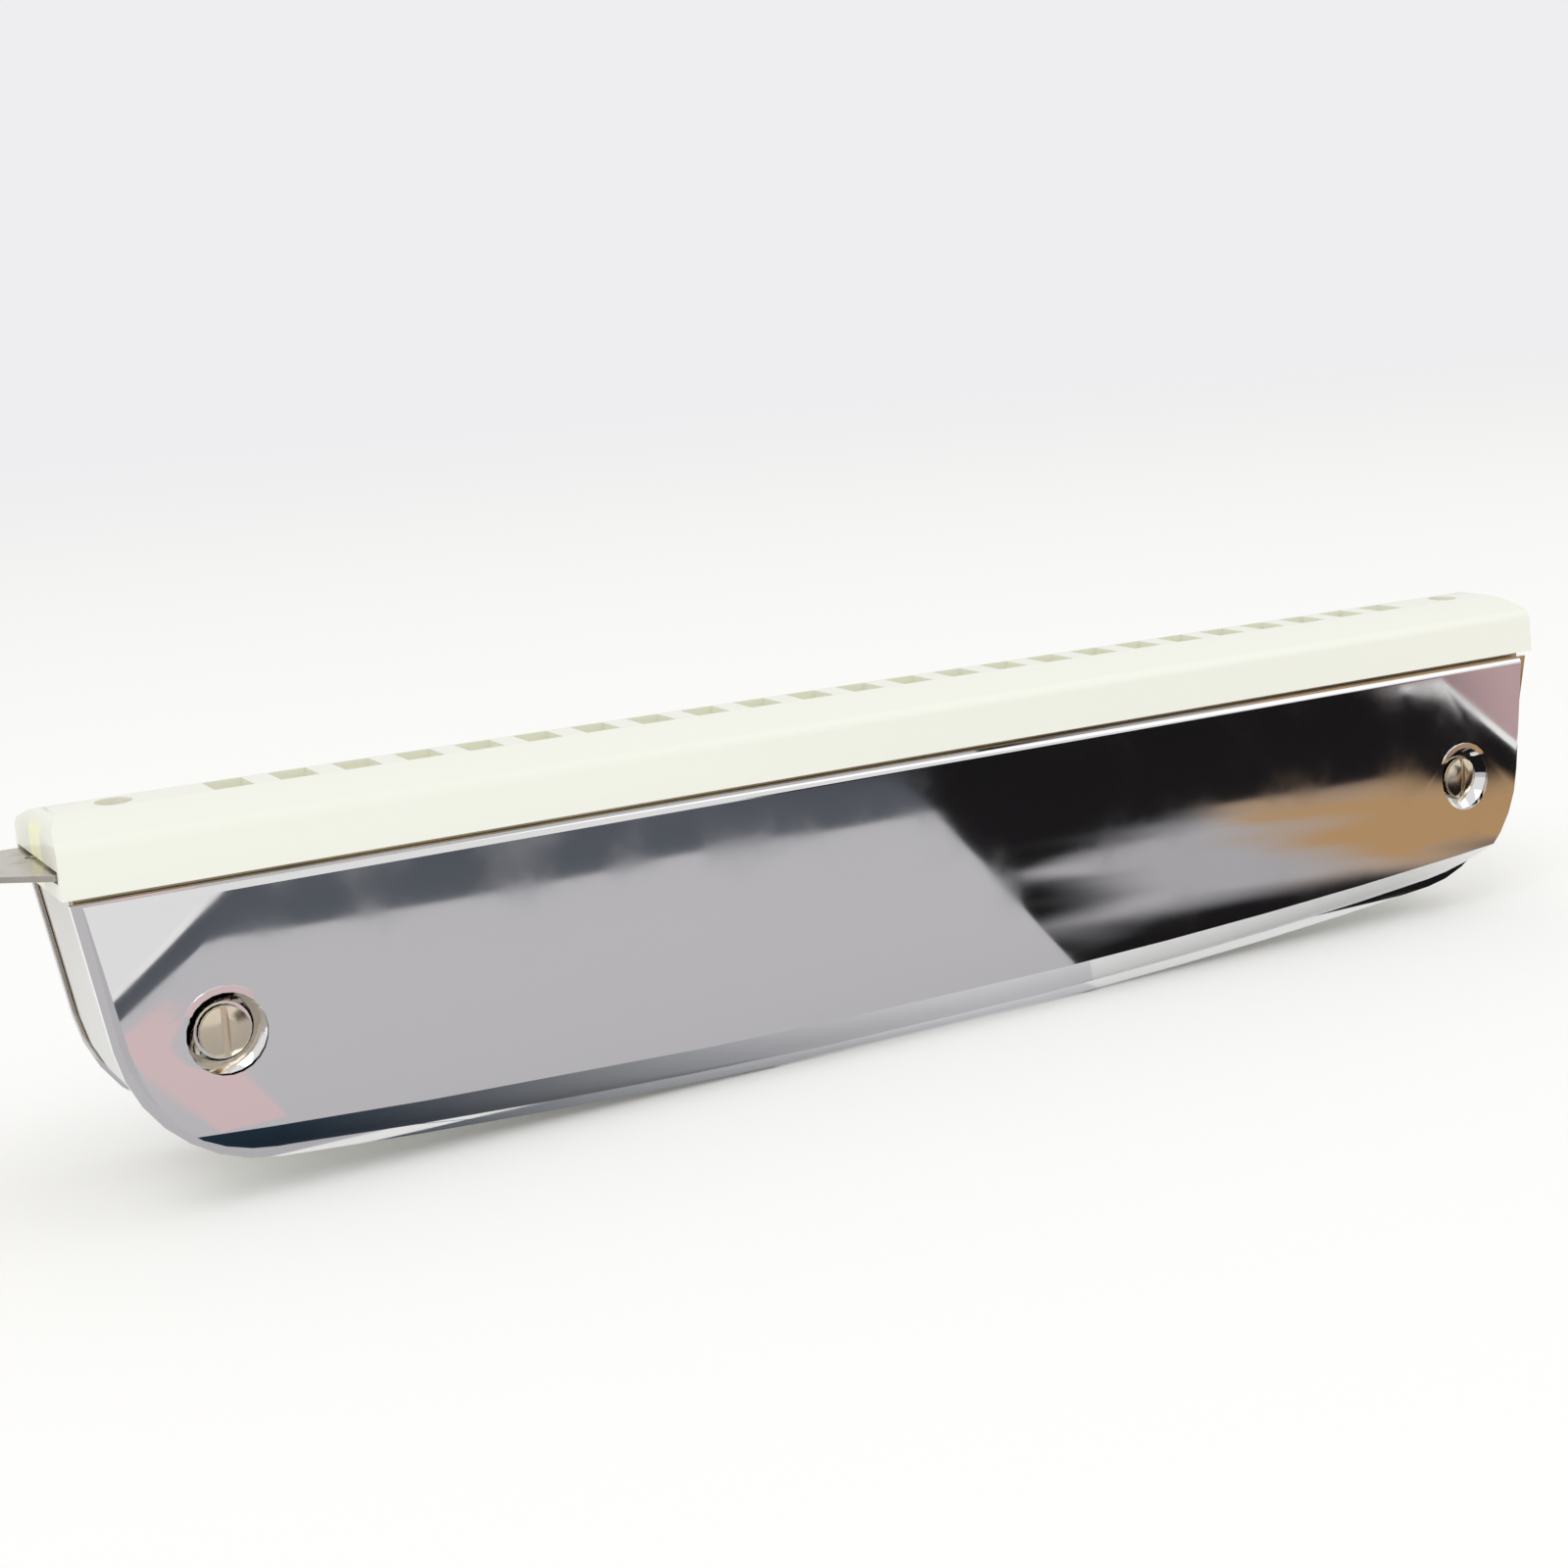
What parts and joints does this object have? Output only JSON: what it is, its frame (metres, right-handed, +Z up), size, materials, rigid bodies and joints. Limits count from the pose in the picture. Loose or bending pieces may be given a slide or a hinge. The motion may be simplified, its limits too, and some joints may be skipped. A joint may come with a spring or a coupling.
{
  "type": "chromatic harmonica",
  "caption": "Slide harmonica with a row of square mouth holes, a sprung slide with a push button, two reed plates on a comb and two bolted chrome covers",
  "frame": {"origin": "under the middle of the whole length, button included, on the plane it stands on", "axes": "+X along the instrument away from the button, +Z up out of the mouth holes, -Y out of the cover with the screw heads"},
  "size_m": [0.1986, 0.021, 0.0376],
  "materials": {
    "cream": "smooth",
    "white": "satin",
    "chrome": "mirror",
    "brass": "satin",
    "steel": "satin",
    "nickel": "polished",
    "rubber": "matte"
  },
  "bodies": {
    "instrument": {"mouthpiece": "cream", "comb": "white", "cover_top": "chrome", "cover_bottom": "chrome", "reed_plate_top": "brass", "reed_plate_bottom": "brass", "slide_back_plate": "steel", "slide_guide_plate": "steel", "return_spring": "steel", "mouthpiece_screw_button_end": "nickel", "mouthpiece_screw_far_end": "nickel", "plate_screw_top_1": "nickel", "plate_screw_top_2": "nickel", "plate_screw_top_3": "nickel", "plate_screw_bottom_1": "nickel", "plate_screw_bottom_2": "nickel", "plate_screw_bottom_3": "nickel", "cover_bolt_button_end": "nickel", "cover_bolt_far_end": "nickel", "cover_nut_button_end": "nickel", "cover_nut_far_end": "nickel", "slide_bumper": "rubber"},
    "slide_and_button": {"slide": "steel", "slide_button": "nickel"}
  },
  "joints": [
    {"name": "slide_press", "type": "slide", "parent": "instrument", "child": "slide_and_button", "axis": [1, 0, 0], "range_m": [0, 0.0032], "stiffness_N_per_m": 600, "springref_m": -0.003, "deforming": ["return_spring"]}
  ]
}
